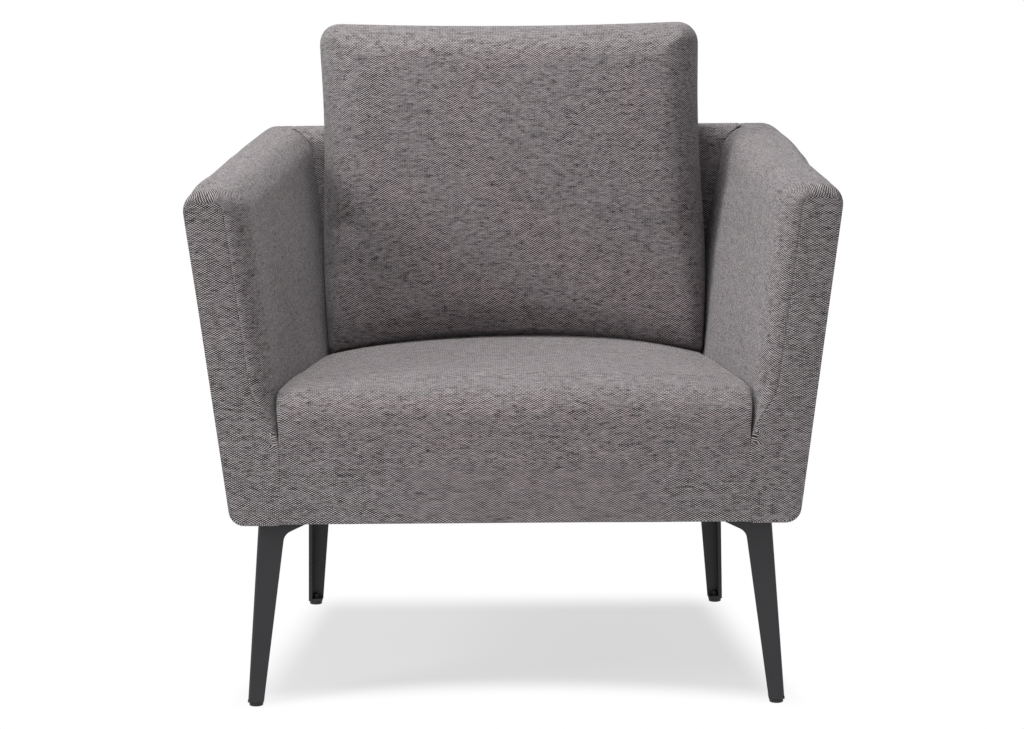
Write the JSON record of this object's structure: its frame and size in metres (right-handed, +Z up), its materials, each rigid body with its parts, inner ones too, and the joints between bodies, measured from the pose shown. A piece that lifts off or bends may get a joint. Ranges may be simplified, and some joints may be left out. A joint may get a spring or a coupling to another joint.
{
  "type": "upholstered armchair",
  "caption": "Low upholstered armchair with slab arms that lean outward, a crowned fixed seat, a loose back cushion that lifts out, and slim splayed metal legs.",
  "frame": {"origin": "floor level, midway between the sides and between the front and rear of the chair", "axes": "+Z up, front of the seat towards -Y, +X to the right as seen from in front"},
  "size_m": [0.819, 0.8, 0.8503],
  "materials": {
    "tweed": "heathered grey tweed with a fine twill",
    "foam": "cut polyurethane foam",
    "fibre_fill": "fibre-filled inner cushion",
    "felt": "needled felt",
    "dust_sheet": "black non-woven sheet",
    "webbing": "elastic webbing",
    "timber": "planed hardwood",
    "hardboard": "smooth hardboard",
    "spring_steel": "drawn wire",
    "zinc_steel": "zinc plated",
    "black_steel": "matte black powder coat",
    "glide_plastic": "moulded black",
    "zip_tape": "woven tape with a nylon coil",
    "zip_metal": "dark plated"
  },
  "bodies": {
    "chair": {"back_base_rail": "timber", "back_board": "hardboard", "back_cover": "tweed", "back_foam": "foam", "back_left_post": "timber", "back_right_post": "timber", "back_top_rail": "timber", "back_webbing": "webbing", "corner_blocks": "timber", "dust_cover": "dust_sheet", "frame_bolts": "zinc_steel", "frame_nuts": "zinc_steel", "front_left_glide": "glide_plastic", "front_left_leg": "black_steel", "front_rail": "timber", "front_right_glide": "glide_plastic", "front_right_leg": "black_steel", "left_arm_base_rail": "timber", "left_arm_cover": "tweed", "left_arm_foam": "foam", "left_arm_front_post": "timber", "left_arm_inner_board": "hardboard", "left_arm_outer_board": "hardboard", "left_arm_rear_post": "timber", "left_arm_top_rail": "timber", "left_side_rail": "timber", "leg_screws": "zinc_steel", "rear_left_glide": "glide_plastic", "rear_left_leg": "black_steel", "rear_rail": "timber", "rear_right_glide": "glide_plastic", "rear_right_leg": "black_steel", "right_arm_base_rail": "timber", "right_arm_cover": "tweed", "right_arm_foam": "foam", "right_arm_front_post": "timber", "right_arm_inner_board": "hardboard", "right_arm_outer_board": "hardboard", "right_arm_rear_post": "timber", "right_arm_top_rail": "timber", "right_side_rail": "timber", "seat_cover": "tweed", "seat_foam": "foam", "seat_springs": "spring_steel", "spring_clips": "spring_steel", "spring_felt": "felt"},
    "back_cushion": {"cushion_cover": "tweed", "cushion_insert": "fibre_fill", "cushion_zip": "zip_tape"},
    "zip_slider": {"zip_slider": "zip_metal"}
  },
  "joints": [
    {"name": "cushion_lift", "type": "slide", "parent": "chair", "child": "back_cushion", "axis": [0, 0.1908, 0.9816], "range_m": [0, 0.32]},
    {"name": "zip_slide", "type": "slide", "parent": "back_cushion", "child": "zip_slider", "axis": [1, 0, 0], "range_m": [0, 0.35]}
  ]
}
